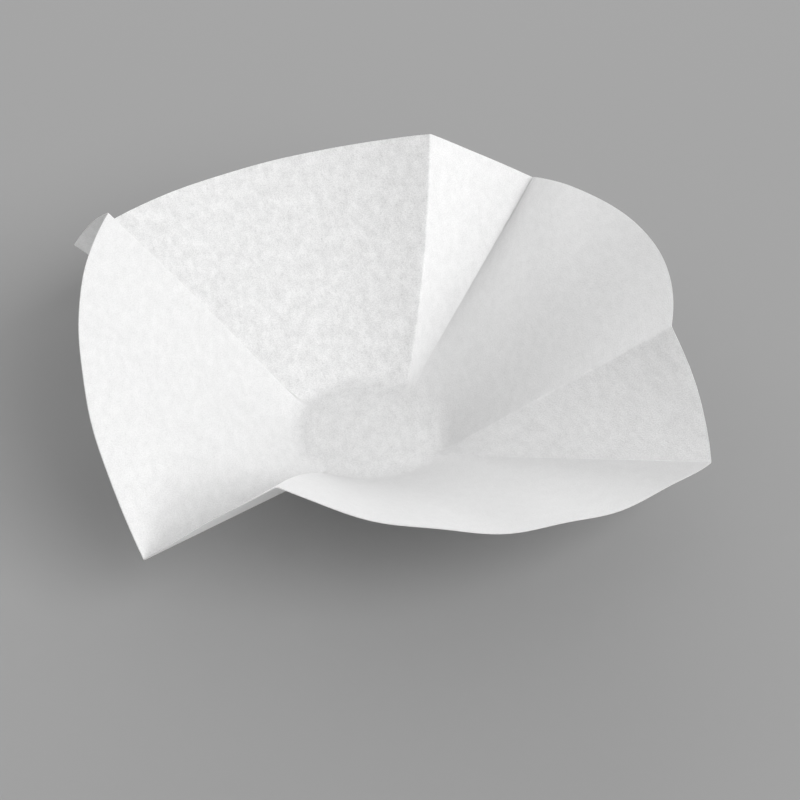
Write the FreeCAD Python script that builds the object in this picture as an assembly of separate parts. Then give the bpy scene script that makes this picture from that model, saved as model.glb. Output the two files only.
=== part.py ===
import FreeCAD, Part
import math
import os

# A paper coffee filter, opened into a shallow bowl. One round sheet of filter paper is folded into
# a small flat bottom, four curved wall panels and four corner pleats. A pleat is a gusset between
# a ridge crease, which stands up into the bowl, and a valley crease, which lies lower and outside.
# The sheet rests on its flat bottom at height zero, with the bottom's centre at the origin.
# Lengths are in millimetres and angles in degrees. A turn is measured anticlockwise from +X as
# seen from above, and a slope up from the horizontal.

# The folds in clockwise order: each wall panel ends at the ridge of the pleat with its name, and
# starts at the valley of the pleat before.
PLACES = ["left", "back", "right", "front"]

SHEET = {
    "sheet_radius": (104.0, "radius of the round sheet before it is folded"),
    "paper_thickness": (0.25, "thickness of the paper"),
    "bottom_radius": (23.3, "from the bottom's centre to its four corners"),
    "bottom_pull": (0.9, "how far the middle of a bottom edge lies inside the circle of the corners"),
    "corner_width": (1.6, "distance between the two creases of a pleat at the bottom"),
    "crease_spread_angle": (13.5, "angle in the flat sheet between a corner's diagonal and each crease there"),
    "left_corner_angle": (147.5, "turn of the left corner, the others follow a quarter turn apart"),
}

# A swing turns a crease away from its corner's own direction, and the gusset's middle away from
# halfway between its creases. A bow is how far the middle of a ridge stands off its straight line.
PLEATS = {
    "left": {"ridge_swing_angle": 22.5, "ridge_slope_angle": 50.5,
             "ridge_side_bow": -0.5, "ridge_lift_bow": 0.5,
             "valley_swing_angle": 14.0, "valley_slope_angle": 32.0,
             "gusset_swing_angle": -3.5, "gusset_lift_angle": -0.5},
    "back": {"ridge_swing_angle": 24.0, "ridge_slope_angle": 37.0,
             "ridge_side_bow": -1.5, "ridge_lift_bow": -1.5,
             "valley_swing_angle": -1.0, "valley_slope_angle": 25.0,
             "gusset_swing_angle": 0.0, "gusset_lift_angle": -1.0},
    "right": {"ridge_swing_angle": 19.0, "ridge_slope_angle": 41.0,
              "ridge_side_bow": 2.5, "ridge_lift_bow": -1.5,
              "valley_swing_angle": 7.5, "valley_slope_angle": 16.5,
              "gusset_swing_angle": -0.5, "gusset_lift_angle": -0.5},
    "front": {"ridge_swing_angle": 23.0, "ridge_slope_angle": 38.5,
              "ridge_side_bow": -0.5, "ridge_lift_bow": 1.5,
              "valley_swing_angle": -1.5, "valley_slope_angle": 20.0,
              "gusset_swing_angle": -1.5, "gusset_lift_angle": 0.5},
}

# A panel has two ribs, at a third and at two thirds of its width. They are swung and lifted from
# an even spread between the creases on its two sides, which gives the wall its curve.
PANELS = {
    "left": {"first_rib_swing_angle": 6.5, "first_rib_lift_angle": 7.0,
             "second_rib_swing_angle": 7.0, "second_rib_lift_angle": 7.0},
    "back": {"first_rib_swing_angle": -3.0, "first_rib_lift_angle": -7.5,
             "second_rib_swing_angle": -0.5, "second_rib_lift_angle": -7.5},
    "right": {"first_rib_swing_angle": 18.5, "first_rib_lift_angle": -1.5,
              "second_rib_swing_angle": 22.0, "second_rib_lift_angle": -4.0},
    "front": {"first_rib_swing_angle": 0.0, "first_rib_lift_angle": 1.0,
              "second_rib_swing_angle": 3.0, "second_rib_lift_angle": -1.0},
}

QUARTER_TURN = 90.0
FULL_TURN = 360.0
UP = FreeCAD.Vector(0, 0, 1)
SEWING_GAP = 0.001

doc = FreeCAD.newDocument("paper_coffee_filter")
sheet = doc.addObject("Spreadsheet::Sheet", "sizes")


def sheet_rows():
    """Every driving dimension as (alias, value, meaning)."""
    for alias, (value, meaning) in SHEET.items():
        yield alias, value, meaning
    for place in PLACES:
        for name, value in PLEATS[place].items():
            yield f"{place}_{name}", value, f"{name.replace('_', ' ')} of the {place} pleat"
        for name, value in PANELS[place].items():
            yield f"{place}_{name}", value, f"{name.replace('_', ' ')} of the {place} panel"


for row, (alias, value, meaning) in enumerate(sheet_rows(), start=1):
    sheet.set(f"A{row}", meaning)
    sheet.set(f"B{row}", str(value))
    sheet.setAlias(f"B{row}", alias)
doc.recompute()


def size(alias):
    """One driving dimension, read from the sheet."""
    return float(sheet.get(alias))


def direction(turn, slope=0.0):
    """The unit vector with this turn and slope."""
    level = math.cos(math.radians(slope))
    return FreeCAD.Vector(level * math.cos(math.radians(turn)),
                          level * math.sin(math.radians(turn)),
                          math.sin(math.radians(slope)))


def flat_reach(foot_radius, turn_between):
    """From a point this far from the flat sheet's centre to its edge, this turn further round."""
    edge = direction(turn_between) * size("sheet_radius")
    return (edge - FreeCAD.Vector(foot_radius, 0, 0)).Length


def corner_half_turn():
    """Half of the turn that one pleat takes at the bottom."""
    return math.degrees(math.asin(0.5 * size("corner_width") / size("bottom_radius")))


def gusset_half_turn():
    """Half of the turn that one gusset takes at the edge of the flat sheet."""
    spread = size("crease_spread_angle")
    return spread - math.degrees(math.asin(size("bottom_radius") * math.sin(math.radians(spread))
                                           / size("sheet_radius")))


class Crease:
    """One crease, from its root on the bottom's outline to its tip on the rim."""

    def __init__(self, place, kind):
        corner_turn = size("left_corner_angle") - QUARTER_TURN * PLACES.index(place)
        half_turn = corner_half_turn() if kind == "ridge" else -corner_half_turn()
        length = flat_reach(size("bottom_radius"), gusset_half_turn() - corner_half_turn())
        self.root_turn = corner_turn + half_turn
        self.turn = corner_turn + size(f"{place}_{kind}_swing_angle")
        self.slope = size(f"{place}_{kind}_slope_angle")
        self.root = direction(self.root_turn) * size("bottom_radius")
        self.tip = self.root + direction(self.turn, self.slope) * length
        self.bow = FreeCAD.Vector()
        if kind == "ridge":
            sideways = direction(self.turn + QUARTER_TURN) * size(f"{place}_ridge_side_bow")
            upwards = direction(self.turn, self.slope + QUARTER_TURN) * size(f"{place}_ridge_lift_bow")
            self.bow = sideways + upwards


def middle_poles(lower, upper, bows):
    """The middle poles of parabolas that run from lower to upper and stand off by bows halfway."""
    return [(a + b) * 0.5 + bow * 2 for a, b, bow in zip(lower, upper, bows)]


def cubic_poles(points):
    """The poles of the cubic curve through four evenly spread points."""
    first, second, third, last = points
    near_first = (first * -5 + second * 18 - third * 9 + last * 2) * (1 / 6)
    near_last = (first * 2 - second * 9 + third * 18 - last * 5) * (1 / 6)
    return [first, near_first, near_last, last]


def parabola_poles(points):
    """The poles of the parabola through three evenly spread points."""
    first, middle, last = points
    return [first, middle * 2 - (first + last) * 0.5, last]


def panel_rows(place, start, end):
    """Poles of a wall panel's lower face: the rows at the bottom, halfway up and at the rim."""
    first_turn = start.turn
    last_turn = end.turn if end.turn < start.turn else end.turn - FULL_TURN
    first_root = start.root_turn
    last_root = end.root_turn if end.root_turn < start.root_turn else end.root_turn - FULL_TURN
    narrowing = gusset_half_turn() - corner_half_turn()
    ribs = [(0.0, 0.0),
            (size(f"{place}_first_rib_swing_angle"), size(f"{place}_first_rib_lift_angle")),
            (size(f"{place}_second_rib_swing_angle"), size(f"{place}_second_rib_lift_angle")),
            (0.0, 0.0)]
    bottom = []
    rim = []
    for index, (swing, lift) in enumerate(ribs):
        share = index / (len(ribs) - 1)
        radius = size("bottom_radius") - size("bottom_pull") * 4 * share * (1 - share)
        foot = direction(first_root + (last_root - first_root) * share) * radius
        turn = first_turn + (last_turn - first_turn) * share + swing
        slope = start.slope + (end.slope - start.slope) * share + lift
        bottom.append(foot)
        rim.append(foot + direction(turn, slope) * flat_reach(radius, narrowing * (1 - 2 * share)))
    bottom = cubic_poles(bottom)
    rim = cubic_poles(rim)
    bows = [start.bow, FreeCAD.Vector(), FreeCAD.Vector(), end.bow]
    return [bottom, middle_poles(bottom, rim, bows), rim]


def gusset_rows(place, ridge, valley):
    """Poles of a gusset's lower face, in the same three rows."""
    foot = (ridge.root + valley.root) * 0.5
    turn = 0.5 * (ridge.turn + valley.turn) + size(f"{place}_gusset_swing_angle")
    slope = 0.5 * (ridge.slope + valley.slope) + size(f"{place}_gusset_lift_angle")
    edge = foot + direction(turn, slope) * (size("sheet_radius") - size("bottom_radius"))
    bottom = [ridge.root, foot, valley.root]
    rim = parabola_poles([ridge.tip, edge, valley.tip])
    bows = [ridge.bow, (ridge.bow + valley.bow) * 0.5, valley.bow]
    return [bottom, middle_poles(bottom, rim, bows), rim]


def surface(rows):
    """A smooth surface with these rows of poles."""
    patch = Part.BezierSurface()
    patch.increase(len(rows[0]) - 1, len(rows) - 1)
    for across in range(len(rows[0])):
        for along in range(len(rows)):
            patch.setPole(across + 1, along + 1, rows[along][across])
    return patch


def normals(rows):
    """The paper's unit normals on the bowl's side, one for each pole of a patch."""
    patch = surface(rows)
    last_across = len(rows[0]) - 1
    last_along = len(rows) - 1
    return [[patch.normal(across / last_across, along / last_along) for across in range(last_across + 1)]
            for along in range(last_along + 1)]


def mitre(faces):
    """The offset from a point of the lower faces to the same point of faces one unit above them."""
    if len(faces) == 1:
        return faces[0]
    if len(faces) == 2:
        first, second = faces
        return (first + second) * (1 / (1 + first.dot(second)))
    first, second, third = faces
    cross = second.cross(third) + third.cross(first) + first.cross(second)
    return cross * (1 / first.dot(second.cross(third)))


def raised(patches):
    """The upper faces' poles: every pole of the closed ring of patches, moved by the thickness."""
    thickness = size("paper_thickness")
    facing = [normals(rows) for rows in patches]
    upper = []
    for index, rows in enumerate(patches):
        before = facing[index - 1]
        after = facing[(index + 1) % len(patches)]
        moved_rows = []
        for along, row in enumerate(rows):
            moved = []
            for across, pole in enumerate(row):
                meeting = [facing[index][along][across]]
                if across == 0:
                    meeting.insert(0, before[along][-1])
                if across == len(row) - 1:
                    meeting.append(after[along][0])
                if along == 0:
                    meeting.append(UP)
                moved.append(pole + mitre(meeting) * thickness)
            moved_rows.append(moved)
        upper.append(moved_rows)
    return upper


def bottom_face(patches):
    """The flat bottom inside the first rows of the patches."""
    edges = []
    for rows in patches:
        curve = Part.BezierCurve()
        curve.setPoles(rows[0])
        edges.append(curve.toShape())
    return Part.Face(Part.Wire(edges))


def folded_sheet():
    """The whole folded sheet as one closed solid."""
    ridges = [Crease(place, "ridge") for place in PLACES]
    valleys = [Crease(place, "valley") for place in PLACES]
    lower = []
    for index, place in enumerate(PLACES):
        lower.append(panel_rows(place, valleys[index - 1], ridges[index]))
        lower.append(gusset_rows(place, ridges[index], valleys[index]))
    upper = raised(lower)
    faces = [surface(rows).toShape() for rows in lower + upper]
    faces += [surface([under[-1], over[-1]]).toShape() for under, over in zip(lower, upper)]
    faces += [bottom_face(lower), bottom_face(upper)]
    shell = Part.makeCompound(faces)
    shell.sewShape(SEWING_GAP)
    solid = Part.Solid(shell.Shells[0] if shell.Shells else shell)
    if solid.Volume < 0:
        solid.reverse()
    return solid


paper = doc.addObject("Part::Feature", "filter_paper")
paper.Label = "filter_paper"
paper.Shape = folded_sheet()
paper.Placement = FreeCAD.Placement()
doc.recompute()

for item in doc.Objects:
    if "Invalid" in item.State or "Error" in item.State:
        raise RuntimeError(f"{item.Name} did not build: {item.State}")
if paper.Shape.isNull() or not paper.Shape.isValid() or not paper.Shape.isClosed():
    raise RuntimeError("the folded sheet is not a closed, valid solid")
print(f"volume {paper.Shape.Volume:.1f} mm3, box {paper.Shape.BoundBox}")

os.makedirs("parts", exist_ok=True)
paper.Shape.exportStep(f"parts/{paper.Label}.step")
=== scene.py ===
import math

import bmesh
import bpy
import numpy as np
from mathutils import Matrix, Vector


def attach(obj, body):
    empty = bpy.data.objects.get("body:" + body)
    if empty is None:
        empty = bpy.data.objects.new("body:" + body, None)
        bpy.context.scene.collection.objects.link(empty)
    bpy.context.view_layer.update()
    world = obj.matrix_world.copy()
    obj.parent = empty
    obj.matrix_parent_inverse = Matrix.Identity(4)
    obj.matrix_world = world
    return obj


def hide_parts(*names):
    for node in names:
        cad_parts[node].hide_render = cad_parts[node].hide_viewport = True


# A paper coffee filter: one round sheet folded into a shallow bowl, with a flat bottom, four wall
# panels and four corner pleats. A pleat is a gusset between a ridge crease, which stands up into the
# bowl, and a valley crease, which lies lower and outside. Lengths are in metres, apart from the
# bows, the lens, the sensor and the camera's points, which are in millimetres. Angles are in degrees.
# A turn is measured anticlockwise from +X as seen from above, and a slope up from the horizontal.

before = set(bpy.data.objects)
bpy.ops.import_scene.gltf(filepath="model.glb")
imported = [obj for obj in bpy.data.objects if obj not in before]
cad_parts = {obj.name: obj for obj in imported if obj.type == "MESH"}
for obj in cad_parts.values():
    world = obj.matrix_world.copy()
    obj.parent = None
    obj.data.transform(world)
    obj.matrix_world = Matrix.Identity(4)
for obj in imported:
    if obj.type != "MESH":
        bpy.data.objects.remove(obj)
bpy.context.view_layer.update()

MM = 0.001

# The folds in clockwise order, the same as the CAD's: a panel ends at the ridge of the pleat with
# its name, and starts at the valley of the pleat before.
PLACES = ["left", "back", "right", "front"]
QUARTER_TURN = 90.0
FULL_TURN = 360.0

SHEET_RADIUS = 104.0 * MM
PAPER_THICKNESS = 0.25 * MM
BOTTOM_RADIUS = 23.3 * MM
BOTTOM_PULL = 0.9 * MM
CORNER_WIDTH = 1.6 * MM
CREASE_SPREAD = 13.5
LEFT_CORNER_TURN = 147.5

# A swing turns a crease away from its corner's own direction, and the gusset's middle away from
# halfway between its creases. A bow is how far the middle of a ridge stands off its straight line.
PLEATS = {
    "left": {"ridge_swing": 22.5, "ridge_slope": 50.5, "ridge_side_bow": -0.5, "ridge_lift_bow": 0.5,
             "valley_swing": 14.0, "valley_slope": 32.0, "gusset_swing": -3.5, "gusset_lift": -0.5},
    "back": {"ridge_swing": 24.0, "ridge_slope": 37.0, "ridge_side_bow": -1.5, "ridge_lift_bow": -1.5,
             "valley_swing": -1.0, "valley_slope": 25.0, "gusset_swing": 0.0, "gusset_lift": -1.0},
    "right": {"ridge_swing": 19.0, "ridge_slope": 41.0, "ridge_side_bow": 2.5, "ridge_lift_bow": -1.5,
              "valley_swing": 7.5, "valley_slope": 16.5, "gusset_swing": -0.5, "gusset_lift": -0.5},
    "front": {"ridge_swing": 23.0, "ridge_slope": 38.5, "ridge_side_bow": -0.5, "ridge_lift_bow": 1.5,
              "valley_swing": -1.5, "valley_slope": 20.0, "gusset_swing": -1.5, "gusset_lift": 0.5},
}

# The swing and lift of each panel's two ribs, at a third and at two thirds of its width, away from
# an even spread between the creases on its two sides.
PANELS = {
    "left": [(6.5, 7.0), (7.0, 7.0)],
    "back": [(-3.0, -7.5), (-0.5, -7.5)],
    "right": [(18.5, -1.5), (22.0, -4.0)],
    "front": [(0.0, 1.0), (3.0, -1.0)],
}

# How finely the sheet is divided, and how softly it is creased.
PANEL_COLUMNS = 60
GUSSET_COLUMNS = 16
WALL_ROWS = 64
BOTTOM_RINGS = 16
FOLD_STEPS = 4
FOLD_RADIUS = 0.5 * MM
WIDEST_FOLD_SHARE = 0.3
FOOT_STEPS = 8
FOOT_RADIUS = 3.0 * MM
WIDTH_POINTS = 33
FACING_STEP = 0.01

# The paper lies a little unevenly: how far it waves, over what length, and the two waves that are
# added up, each with its strength and its rate and start both ways across the flat sheet.
WAVE_HEIGHT = 0.3 * MM
WAVE_LENGTH = 46.0 * MM
WAVES = [(1.0, (1.0, 0.8), (0.8, 2.1)),
         (0.5, (1.6, 4.0), (1.3, 0.0))]

# One panel ripples towards its rim: how high, how far it sags on the whole, and where the first
# low place is and how far apart they lie, as shares of the way across.
RIPPLED_PANEL = "front"
RIPPLE_HEIGHT = 0.6 * MM
RIPPLE_SAG = 0.35 * MM
RIPPLE_START = 0.285
RIPPLE_LENGTH = 0.28

# How strongly the fibres show in each part of the sheet, from smooth to blotchy, which also sets
# how much painted see-through light brings them out and how dark that part's painted shade is,
# and how often these values are blended into their neighbours round the bowl.
FIBRES_AND_PAINTED_LIGHT = {"left": 0.5, "back": 1.0, "right": 0.4, "front": 0.25, "bottom": 0.8}
GUSSET_FIBRES_AND_PAINTED_LIGHT = {"left": 0.5, "back": 0.5, "right": 0.6, "front": 0.0}
PAINTED_LIGHT_BLENDS = 6
# How bright the painted highlight is along a ridge crease and along a valley crease.
RIDGE_HIGHLIGHT = 1.0
VALLEY_HIGHLIGHT = 0.3

# The paper: how white it is, how white its cut edge is painted, greyer as painted shade so that the
# edge shows no lit line, how much light it lets through, and its markings.
PAPER_WHITENESS = 0.89
SHADED_EDGE_WHITENESS = 0.7
PAPER_ROUGHNESS = 0.85
PAPER_GLOSS = 0.2
SEE_THROUGH = 0.38
# Painted shade: how far a part whose fibres show fully is darkened; parts that show less are darkened
# less.
PAINTED_SHADE = 0.05
FIBRE_TURN = 15.0
FIBRE_STRETCH = 1.8
CLOUD_CONTRAST = 0.055
FLECK_CONTRAST = 0.07
GRAIN_CONTRAST = 0.05
EVEN_GRAIN_CONTRAST = 0.02
# How much the painted crease highlight lightens the paper.
CREASE_HIGHLIGHT_STRENGTH = 0.06
BUMP_STRENGTH = 0.35
BUMP_DEPTH = 0.12 * MM

# The markings' noises, and the part of each noise's range that is used.
CLOUD_NOISE = {"scale": 80.0, "detail": 8.0, "roughness": 0.7}
CLOUD_RANGE = (0.36, 0.64)
FLECK_NOISE = {"scale": 300.0, "detail": 2.0, "roughness": 0.5}
FLECK_RANGE = (0.54, 0.72)
GRAIN_NOISE = {"scale": 520.0, "detail": 3.0, "roughness": 0.6}
GRAIN_RANGE = (0.36, 0.64)

FLOOR_REACH = 3.0
FLOOR_DROP = 0.1 * MM
FLOOR_WHITENESS = 0.26
FLOOR_ROUGHNESS = 0.9

# Each lamp's turn, slope and power. The lamps stand far enough away that the whole floor lies in
# front of them.
LAMPS = {
    "front_right": (315.0, 38.0, 190.8),
    "back_low": (90.0, 10.0, 110.7),
    "back_left_low": (135.0, 10.0, 45.0),
}
LAMP_DISTANCE = 4.5
LAMP_WIDTH = 3.0
ROOM_STRENGTH = 0.69

# The camera: its lens and sensor, the range of depth it shows, its place, the point that it looks
# at and its roll.
LENS_LENGTH = 79.2
SENSOR_WIDTH = 36.0
NEAREST_SHOWN = 0.01
FARTHEST_SHOWN = 20.0
CAMERA_PLACE = (0.0, -395.9, 323.8)
CAMERA_TARGET = (9.1, 4.9, 6.4)
CAMERA_ROLL = -0.71


def camera():
    """The view of the photograph: from in front, about 38 degrees up."""
    lens = bpy.data.cameras.new("camera")
    lens.sensor_width = SENSOR_WIDTH
    lens.lens = LENS_LENGTH
    lens.clip_start = NEAREST_SHOWN
    lens.clip_end = FARTHEST_SHOWN
    eye = bpy.data.objects.new("camera", lens)
    place = Vector(CAMERA_PLACE) * MM
    target = Vector(CAMERA_TARGET) * MM
    facing = (target - place).to_track_quat("-Z", "Y").to_matrix().to_4x4()
    roll = Matrix.Rotation(math.radians(CAMERA_ROLL), 4, "Z")
    eye.matrix_world = Matrix.Translation(place) @ facing @ roll
    bpy.context.collection.objects.link(eye)
    bpy.context.scene.camera = eye


def direction(turn, slope=0.0):
    """The unit vector with this turn and slope."""
    level = math.cos(math.radians(slope))
    return np.array([level * math.cos(math.radians(turn)),
                     level * math.sin(math.radians(turn)),
                     math.sin(math.radians(slope))])


def corner_half_turn():
    """Half of the turn that one pleat takes at the bottom."""
    return math.degrees(math.asin(0.5 * CORNER_WIDTH / BOTTOM_RADIUS))


def gusset_half_turn():
    """Half of the turn that one gusset takes at the edge of the flat sheet."""
    sine = BOTTOM_RADIUS * math.sin(math.radians(CREASE_SPREAD)) / SHEET_RADIUS
    return CREASE_SPREAD - math.degrees(math.asin(sine))


def flat_reach(foot_radius, turn_between):
    """From a point this far from the flat sheet's centre to its edge, this turn further round."""
    return np.linalg.norm(direction(turn_between) * SHEET_RADIUS - np.array([foot_radius, 0, 0]))


class Crease:
    """One crease, from its root on the bottom's outline to its tip on the rim."""

    def __init__(self, place, kind):
        fold = PLEATS[place]
        corner_turn = LEFT_CORNER_TURN - QUARTER_TURN * PLACES.index(place)
        half_turn = corner_half_turn() if kind == "ridge" else -corner_half_turn()
        length = flat_reach(BOTTOM_RADIUS, gusset_half_turn() - corner_half_turn())
        self.root_turn = corner_turn + half_turn
        self.turn = corner_turn + fold[f"{kind}_swing"]
        self.slope = fold[f"{kind}_slope"]
        self.root = direction(self.root_turn) * BOTTOM_RADIUS
        self.tip = self.root + direction(self.turn, self.slope) * length
        self.bow = np.zeros(3)
        if kind == "ridge":
            sideways = direction(self.turn + QUARTER_TURN) * fold["ridge_side_bow"]
            upwards = direction(self.turn, self.slope + QUARTER_TURN) * fold["ridge_lift_bow"]
            self.bow = (sideways + upwards) * MM


def through(points, share):
    """Points at these shares of the way along the polynomial curve through evenly spread points."""
    places = np.linspace(0.0, 1.0, len(points))
    total = np.zeros((len(share), 3))
    for index, point in enumerate(points):
        weight = np.ones(len(share))
        for other in range(len(points)):
            if other != index:
                weight *= (share - places[other]) / (places[index] - places[other])
        total += weight[:, None] * point
    return total


class Patch:
    """A panel or a gusset: points at its foot, at its rim, and how far it bows between them."""

    def __init__(self, feet, rims, start, end, panel, rippled=False):
        self.feet = feet
        self.rims = rims
        self.start_bow = start.bow
        self.end_bow = end.bow
        self.panel = panel
        self.rippled = rippled

    def points(self, across, along):
        """The points at these shares of the way across, all at one share of the way up."""
        foot = through(self.feet, across)
        rim = through(self.rims, across)
        power = 3 if self.panel else 1
        fade = ((1 - across[:, None]) ** power * self.start_bow
                + across[:, None] ** power * self.end_bow)
        return foot + (rim - foot) * along + fade * (4 * along * (1 - along))

    def facing(self, across, along):
        """The unit normals on the bowl's side at the same points."""
        inner = self.points(across, along - FACING_STEP)
        outer = self.points(across, along + FACING_STEP)
        sideways = self.points(across + FACING_STEP, along) - self.points(across - FACING_STEP, along)
        away = np.cross(sideways, outer - inner)
        return away / np.linalg.norm(away, axis=1)[:, None]


def panel_patch(place, start, end):
    """The wall panel between two creases."""
    last_turn = end.turn if end.turn < start.turn else end.turn - FULL_TURN
    last_root = end.root_turn if end.root_turn < start.root_turn else end.root_turn - FULL_TURN
    narrowing = gusset_half_turn() - corner_half_turn()
    feet = []
    rims = []
    ribs = [(0.0, 0.0)] + PANELS[place] + [(0.0, 0.0)]
    for index, (swing, lift) in enumerate(ribs):
        share = index / (len(ribs) - 1)
        radius = BOTTOM_RADIUS - BOTTOM_PULL * 4 * share * (1 - share)
        foot = direction(start.root_turn + (last_root - start.root_turn) * share) * radius
        turn = start.turn + (last_turn - start.turn) * share + swing
        slope = start.slope + (end.slope - start.slope) * share + lift
        feet.append(foot)
        rims.append(foot + direction(turn, slope) * flat_reach(radius, narrowing * (1 - 2 * share)))
    return Patch(feet, rims, start, end, True, place == RIPPLED_PANEL)


def gusset_patch(place, ridge, valley):
    """The gusset of one pleat."""
    fold = PLEATS[place]
    foot = (ridge.root + valley.root) * 0.5
    turn = 0.5 * (ridge.turn + valley.turn) + fold["gusset_swing"]
    slope = 0.5 * (ridge.slope + valley.slope) + fold["gusset_lift"]
    edge = foot + direction(turn, slope) * (SHEET_RADIUS - BOTTOM_RADIUS)
    feet = [ridge.root, foot, valley.root]
    return Patch(feet, [ridge.tip, edge, valley.tip], ridge, valley, False)


def row_shares(patch, along, columns):
    """Shares across a patch, close together beside its two creases and even between them."""
    coarse = patch.points(np.linspace(0.0, 1.0, WIDTH_POINTS), along)
    width = np.linalg.norm(np.diff(coarse, axis=0), axis=1).sum()
    fold = min(FOLD_RADIUS, WIDEST_FOLD_SHARE * width) / width
    near = np.linspace(0.0, fold, FOLD_STEPS + 1)[:-1]
    middle = np.linspace(fold, 1.0 - fold, columns - 2 * FOLD_STEPS)
    return np.concatenate([near, middle, 1.0 - near[::-1]])


def round_fold(rows, index, steps):
    """Rounds the sharp fold at one place in a list of points, over this many places on both sides.
    A row round the bowl is closed, so its places run on past the end."""
    count = len(rows)
    before = rows[(index - steps) % count].copy()
    corner = rows[index].copy()
    after = rows[(index + steps) % count].copy()
    for step in range(-steps + 1, steps):
        w = (step + steps) / (2 * steps)
        rows[(index + step) % count] = (1 - w) ** 2 * before + 2 * w * (1 - w) * corner + w ** 2 * after


def wall_shares():
    """Shares of the way up the wall, close together at its foot."""
    foot = FOOT_RADIUS / (SHEET_RADIUS - BOTTOM_RADIUS)
    near = np.linspace(0.0, foot, FOOT_STEPS + 1)[:-1]
    return np.concatenate([near, np.linspace(foot, 1.0, WALL_ROWS)])


def ring_shares():
    """Sizes of the bottom's inner rings, close together at its edge."""
    near = 1.0 - np.linspace(0.0, 1.0, FOOT_STEPS + 1)[1:] * FOOT_RADIUS / BOTTOM_RADIUS
    return np.concatenate([near, np.linspace(near[-1], 0.0, BOTTOM_RINGS + 1)[1:-1]])


def flat_turns(columns_of):
    """The turn of each column in the flat sheet, where a quarter turn holds a panel and a gusset."""
    turns = []
    half = gusset_half_turn()
    for index, shares in enumerate(columns_of):
        start = QUARTER_TURN * (0.5 - index // 2)
        if index % 2 == 0:
            turns.append(start - half - shares[:-1] * (QUARTER_TURN - 2 * half))
        else:
            turns.append(start - (QUARTER_TURN - half) - shares[:-1] * 2 * half)
    return np.radians(np.concatenate(turns))


def crease_highlight(patch, shares, reach):
    """How much of the painted highlight along a crease lies on each point across a patch."""
    turn = QUARTER_TURN - 2 * gusset_half_turn() if patch.panel else 2 * gusset_half_turn()
    width = reach * math.radians(turn)
    first, last = (VALLEY_HIGHLIGHT, RIDGE_HIGHLIGHT) if patch.panel else (RIDGE_HIGHLIGHT, VALLEY_HIGHLIGHT)
    near_first = np.clip(1.0 - shares * width / FOLD_RADIUS, 0.0, 1.0)
    near_last = np.clip(1.0 - (1.0 - shares) * width / FOLD_RADIUS, 0.0, 1.0)
    return (first * near_first + last * near_last)[:-1]


def wave(flat, fade):
    """How far the paper stands off its smooth shape, from its place in the flat sheet."""
    turn = 2.0 * math.pi / WAVE_LENGTH
    total = 0.0
    for strength, (x_rate, x_start), (y_rate, y_start) in WAVES:
        total += (strength * np.sin(turn * x_rate * flat[:, 0] + x_start)
                  * np.sin(turn * y_rate * flat[:, 1] + y_start))
    return total * fade * WAVE_HEIGHT


def ripple(patch, shares, along):
    """How far a patch's ripples stand off its smooth shape, more and more towards the rim."""
    if not patch.rippled:
        return np.zeros(len(shares) - 1)
    across = shares[:-1]
    swell = np.cos(2.0 * math.pi * (across - RIPPLE_START) / RIPPLE_LENGTH)
    return -(RIPPLE_SAG + RIPPLE_HEIGHT * swell) * np.sqrt(np.sin(math.pi * across)) * along ** 2


def smooth_round(values):
    """Values round a closed row, blended a little into their neighbours."""
    for _ in range(PAINTED_LIGHT_BLENDS):
        values = (np.roll(values, 1) + values * 2 + np.roll(values, -1)) / 4
    return values


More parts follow.
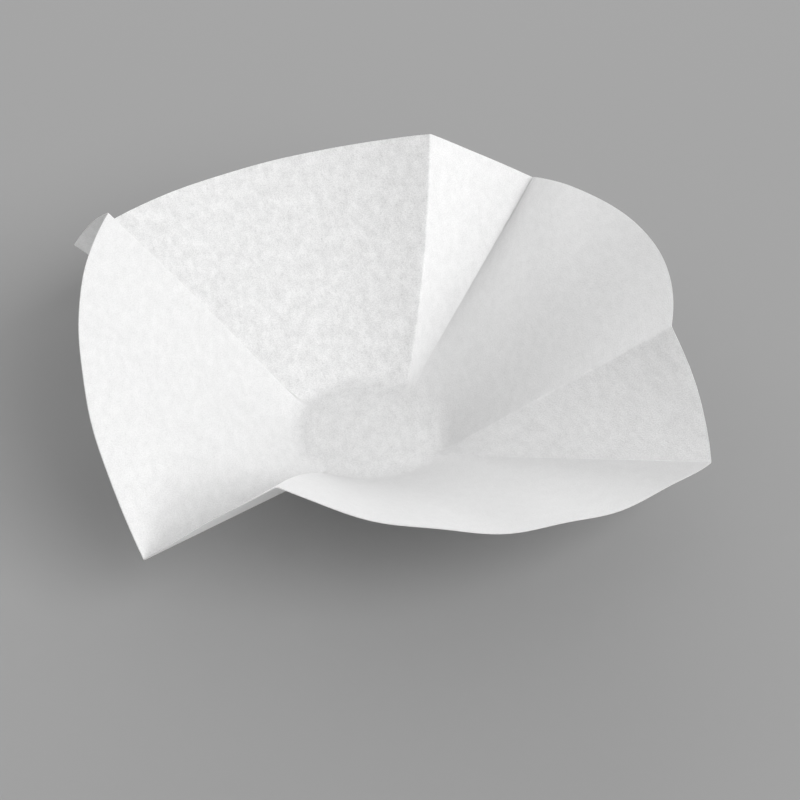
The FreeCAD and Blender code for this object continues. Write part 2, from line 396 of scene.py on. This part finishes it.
class Grid:
    """The sheet's underside as rows of points, from the bottom's middle to the rim, with each point's
    place in the flat sheet, its share of a crease's painted highlight, and how strongly its fibres,
    their painted see-through light and its painted shade show."""

    def __init__(self):
        ridges = [Crease(place, "ridge") for place in PLACES]
        valleys = [Crease(place, "valley") for place in PLACES]
        self.patches = []
        self.part_painted_light = []
        for index, place in enumerate(PLACES):
            self.patches.append(panel_patch(place, valleys[index - 1], ridges[index]))
            self.patches.append(gusset_patch(place, ridges[index], valleys[index]))
            self.part_painted_light += [FIBRES_AND_PAINTED_LIGHT[place], GUSSET_FIBRES_AND_PAINTED_LIGHT[place]]
        self.columns = [PANEL_COLUMNS if patch.panel else GUSSET_COLUMNS for patch in self.patches]
        self.starts = np.cumsum([0] + [count - 1 for count in self.columns[:-1]])
        self.points = []
        self.flats = []
        self.highlights = []
        self.painted_light_rows = []
        for along in wall_shares():
            self.add_row(along)
        self.add_bottom()

    def add_row(self, along):
        """One row of points round the wall, with its creases rounded."""
        reach = BOTTOM_RADIUS + (SHEET_RADIUS - BOTTOM_RADIUS) * along
        shares = [row_shares(patch, along, count) for patch, count in zip(self.patches, self.columns)]
        turns = flat_turns(shares)
        flat = np.stack([np.cos(turns), np.sin(turns)], axis=1) * reach
        points, facing, fade, ripples, highlight, fibres_and_light = [], [], [], [], [], []
        for patch, share, part_painted_light in zip(self.patches, shares, self.part_painted_light):
            points.append(patch.points(share, along)[:-1])
            facing.append(patch.facing(share, along)[:-1])
            fade.append(np.sin(math.pi * share[:-1]) * along)
            ripples.append(ripple(patch, share, along))
            highlight.append(crease_highlight(patch, share, reach))
            fibres_and_light.append(np.full(len(share) - 1, part_painted_light))
        stand_off = wave(flat, np.concatenate(fade)) + np.concatenate(ripples)
        row = np.concatenate(points) + np.concatenate(facing) * stand_off[:, None]
        for start in self.starts:
            round_fold(row, start, FOLD_STEPS)
        self.points.append(row)
        self.flats.append(flat)
        self.highlights.append(np.concatenate(highlight))
        self.painted_light_rows.append(smooth_round(np.concatenate(fibres_and_light)))

    def add_bottom(self):
        """The flat bottom as smaller and smaller rings, and a soft bend up into the walls."""
        rings = ring_shares()[::-1]
        count = len(rings)
        self.points = [self.points[0] * share for share in rings] + self.points
        self.flats = [self.flats[0] * share for share in rings] + self.flats
        self.highlights = [np.zeros_like(self.highlights[0])] * count + self.highlights
        self.painted_light_rows = [np.full_like(self.painted_light_rows[0], FIBRES_AND_PAINTED_LIGHT["bottom"])] * count + self.painted_light_rows
        round_fold(self.points, count, FOOT_STEPS)
        first = count - FOOT_STEPS
        last = count + FOOT_STEPS
        for row in range(first, last):
            share = (row - first) / (last - first)
            self.painted_light_rows[row] = self.painted_light_rows[first] * (1 - share) + self.painted_light_rows[last] * share


def filter_sheet():
    """The folded sheet as one thin piece, with its flat shape as its texture map."""
    grid = Grid()
    columns = len(grid.points[0])
    build = bmesh.new()
    highlight = build.verts.layers.float.new("highlight")
    fibres_and_light = build.verts.layers.float.new("fibres_and_painted_light")
    flat_place = {}
    middle = build.verts.new((0.0, 0.0, 0.0))
    middle[fibres_and_light] = FIBRES_AND_PAINTED_LIGHT["bottom"]
    flat_place[middle] = (0.0, 0.0)
    verts = []
    for points, flats, highlights, painted_light_rows in zip(grid.points, grid.flats, grid.highlights, grid.painted_light_rows):
        row = []
        for point, flat, highlight_here, painted_light_here in zip(points, flats, highlights, painted_light_rows):
            vert = build.verts.new(tuple(point))
            vert[highlight] = highlight_here
            vert[fibres_and_light] = painted_light_here
            flat_place[vert] = tuple(flat)
            row.append(vert)
        verts.append(row)
    for column in range(columns):
        after = (column + 1) % columns
        build.faces.new((middle, verts[0][after], verts[0][column]))
        for low, high in zip(verts[:-1], verts[1:]):
            build.faces.new((low[column], low[after], high[after], high[column]))
    for edge in build.edges:
        edge.smooth = not edge.is_boundary
    layer = build.loops.layers.uv.new("flat_sheet")
    for face in build.faces:
        face.smooth = True
        for loop in face.loops:
            u, v = flat_place[loop.vert]
            loop[layer].uv = (0.5 + u / (2 * SHEET_RADIUS), 0.5 + v / (2 * SHEET_RADIUS))
    mesh = bpy.data.meshes.new("filter_sheet")
    build.normal_update()
    build.to_mesh(mesh)
    build.free()
    piece = bpy.data.objects.new("filter_sheet", mesh)
    bpy.context.collection.objects.link(piece)
    thick = piece.modifiers.new("thickness", "SOLIDIFY")
    thick.thickness = PAPER_THICKNESS
    thick.offset = 1.0
    thick.use_even_offset = True
    thick.material_offset_rim = 1
    return piece


def link(tree, start, end):
    """Joins an output socket to an input socket."""
    tree.links.new(start, end)


def mapping(tree, place, name, numbers):
    """A place in the flat sheet, turned or scaled by three numbers."""
    node = tree.nodes.new("ShaderNodeMapping")
    node.inputs[name].default_value = numbers
    link(tree, place, node.inputs["Vector"])
    return node.outputs["Vector"]


def noise(tree, place, scale, detail, roughness):
    """A soft noise over the flat sheet."""
    node = tree.nodes.new("ShaderNodeTexNoise")
    node.inputs["Scale"].default_value = scale
    node.inputs["Detail"].default_value = detail
    node.inputs["Roughness"].default_value = roughness
    link(tree, place, node.inputs["Vector"])
    return node.outputs["Fac"]


def spread(tree, value, low, high, to_low, to_high):
    """A value in one range brought to another, and kept inside it."""
    node = tree.nodes.new("ShaderNodeMapRange")
    for name, number in (("From Min", low), ("From Max", high), ("To Min", to_low), ("To Max", to_high)):
        node.inputs[name].default_value = number
    link(tree, value, node.inputs["Value"])
    return node.outputs["Result"]


def reckon(tree, kind, first, second):
    """Two values joined by this kind of sum; either may be a plain number."""
    node = tree.nodes.new("ShaderNodeMath")
    node.operation = kind
    for index, value in enumerate((first, second)):
        if isinstance(value, float):
            node.inputs[index].default_value = value
        else:
            link(tree, value, node.inputs[index])
    return node.outputs["Value"]


def plus(tree, first, second):
    """Two values added up."""
    return reckon(tree, "ADD", first, second)


def times(tree, first, second):
    """Two values multiplied."""
    return reckon(tree, "MULTIPLY", first, second)


def surface_value(tree, name):
    """A number kept on the mesh."""
    node = tree.nodes.new("ShaderNodeAttribute")
    node.attribute_name = name
    return node.outputs["Fac"]


def grey(tree, value):
    """A colour with this value in all three parts."""
    node = tree.nodes.new("ShaderNodeCombineColor")
    for name in ("Red", "Green", "Blue"):
        link(tree, value, node.inputs[name])
    return node.outputs["Color"]


def filter_paper(name, whiteness):
    """White, matte, slightly see-through filter paper: clouds of fibres, darker flecks, a fine grain,
    all brought out part by part with painted see-through light and painted shade, and painted
    highlights along the creases."""
    material = bpy.data.materials.new(name)
    material.use_nodes = True
    tree = material.node_tree
    tree.nodes.clear()
    output = tree.nodes.new("ShaderNodeOutputMaterial")
    mix = tree.nodes.new("ShaderNodeMixShader")
    mix.inputs["Fac"].default_value = SEE_THROUGH
    front = tree.nodes.new("ShaderNodeBsdfPrincipled")
    front.inputs["Roughness"].default_value = PAPER_ROUGHNESS
    front.inputs["Specular IOR Level"].default_value = PAPER_GLOSS
    behind = tree.nodes.new("ShaderNodeBsdfTranslucent")

    flat = tree.nodes.new("ShaderNodeTexCoord").outputs["UV"]
    turned = mapping(tree, flat, "Rotation", (0.0, 0.0, math.radians(FIBRE_TURN)))
    along = mapping(tree, turned, "Scale", (1.0, 1.0 / FIBRE_STRETCH, 1.0))
    fibres_and_light = surface_value(tree, "fibres_and_painted_light")
    highlight = surface_value(tree, "highlight")
    cloud = spread(tree, noise(tree, along, **CLOUD_NOISE), *CLOUD_RANGE, -1.0, 1.0)
    fleck = spread(tree, noise(tree, along, **FLECK_NOISE), *FLECK_RANGE, 0.0, 1.0)
    grain = spread(tree, noise(tree, flat, **GRAIN_NOISE), *GRAIN_RANGE, -1.0, 1.0)

    blotch = plus(tree, times(tree, cloud, CLOUD_CONTRAST), times(tree, fleck, -FLECK_CONTRAST))
    blotch = plus(tree, blotch, -PAINTED_SHADE)
    # Clouds and flecks made stronger in parts painted as lit through from behind, with the painted
    # shade, scaled by each part's level.
    value = plus(tree, times(tree, blotch, fibres_and_light), whiteness)
    # The grain also shows more where more painted see-through light is given.
    grain_and_painted_light = plus(tree, times(tree, fibres_and_light, GRAIN_CONTRAST), EVEN_GRAIN_CONTRAST)
    value = plus(tree, value, times(tree, grain, grain_and_painted_light))
    # A painted highlight along each crease.
    value = plus(tree, value, times(tree, highlight, CREASE_HIGHLIGHT_STRENGTH))
    colour = grey(tree, value)
    link(tree, colour, front.inputs["Base Color"])
    link(tree, colour, behind.inputs["Color"])

    bump = tree.nodes.new("ShaderNodeBump")
    bump.inputs["Strength"].default_value = BUMP_STRENGTH
    bump.inputs["Distance"].default_value = BUMP_DEPTH
    link(tree, plus(tree, grain, cloud), bump.inputs["Height"])
    link(tree, bump.outputs["Normal"], front.inputs["Normal"])
    link(tree, front.outputs["BSDF"], mix.inputs[1])
    link(tree, behind.outputs["BSDF"], mix.inputs[2])
    link(tree, mix.outputs["Shader"], output.inputs["Surface"])
    return material


def floor():
    """A plain pale floor, a hair below the paper so that the two faces never fall together."""
    mesh = bpy.data.meshes.new("floor")
    corners = [(-FLOOR_REACH, -FLOOR_REACH), (FLOOR_REACH, -FLOOR_REACH),
               (FLOOR_REACH, FLOOR_REACH), (-FLOOR_REACH, FLOOR_REACH)]
    mesh.from_pydata([(x, y, -FLOOR_DROP) for x, y in corners], [], [(0, 1, 2, 3)])
    plane = bpy.data.objects.new("floor", mesh)
    bpy.context.collection.objects.link(plane)
    material = bpy.data.materials.new("floor")
    material.use_nodes = True
    shader = material.node_tree.nodes["Principled BSDF"]
    shader.inputs["Base Color"].default_value = (FLOOR_WHITENESS, FLOOR_WHITENESS, FLOOR_WHITENESS, 1.0)
    shader.inputs["Roughness"].default_value = FLOOR_ROUGHNESS
    plane.data.materials.append(material)


def soft_light(name, turn, slope, power):
    """A wide lamp that shines on the bowl from this turn and slope."""
    lamp = bpy.data.lights.new(name, "AREA")
    lamp.shape = "SQUARE"
    lamp.size = LAMP_WIDTH
    lamp.energy = power
    holder = bpy.data.objects.new(name, lamp)
    place = Vector(direction(turn, slope) * LAMP_DISTANCE)
    holder.location = place
    holder.rotation_mode = "QUATERNION"
    holder.rotation_quaternion = (-place).to_track_quat("-Z", "Y")
    bpy.context.collection.objects.link(holder)


def room():
    """The even light of a pale room."""
    world = bpy.data.worlds.new("room")
    world.use_nodes = True
    background = world.node_tree.nodes["Background"]
    background.inputs["Color"].default_value = (1.0, 1.0, 1.0, 1.0)
    background.inputs["Strength"].default_value = ROOM_STRENGTH
    bpy.context.scene.world = world


camera()
bpy.context.scene.view_settings.view_transform = "Standard"
room()
floor()
for lamp_name, (lamp_turn, lamp_slope, lamp_power) in LAMPS.items():
    soft_light(lamp_name, lamp_turn, lamp_slope, lamp_power)

piece = filter_sheet()
piece.data.materials.append(filter_paper("filter_paper", PAPER_WHITENESS))
# The cut edge is painted greyer than the paper: painted shade, so that it does not show as a lit line.
piece.data.materials.append(filter_paper("shaded_cut_edge", SHADED_EDGE_WHITENESS))
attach(piece, "root")
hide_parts("filter_paper")
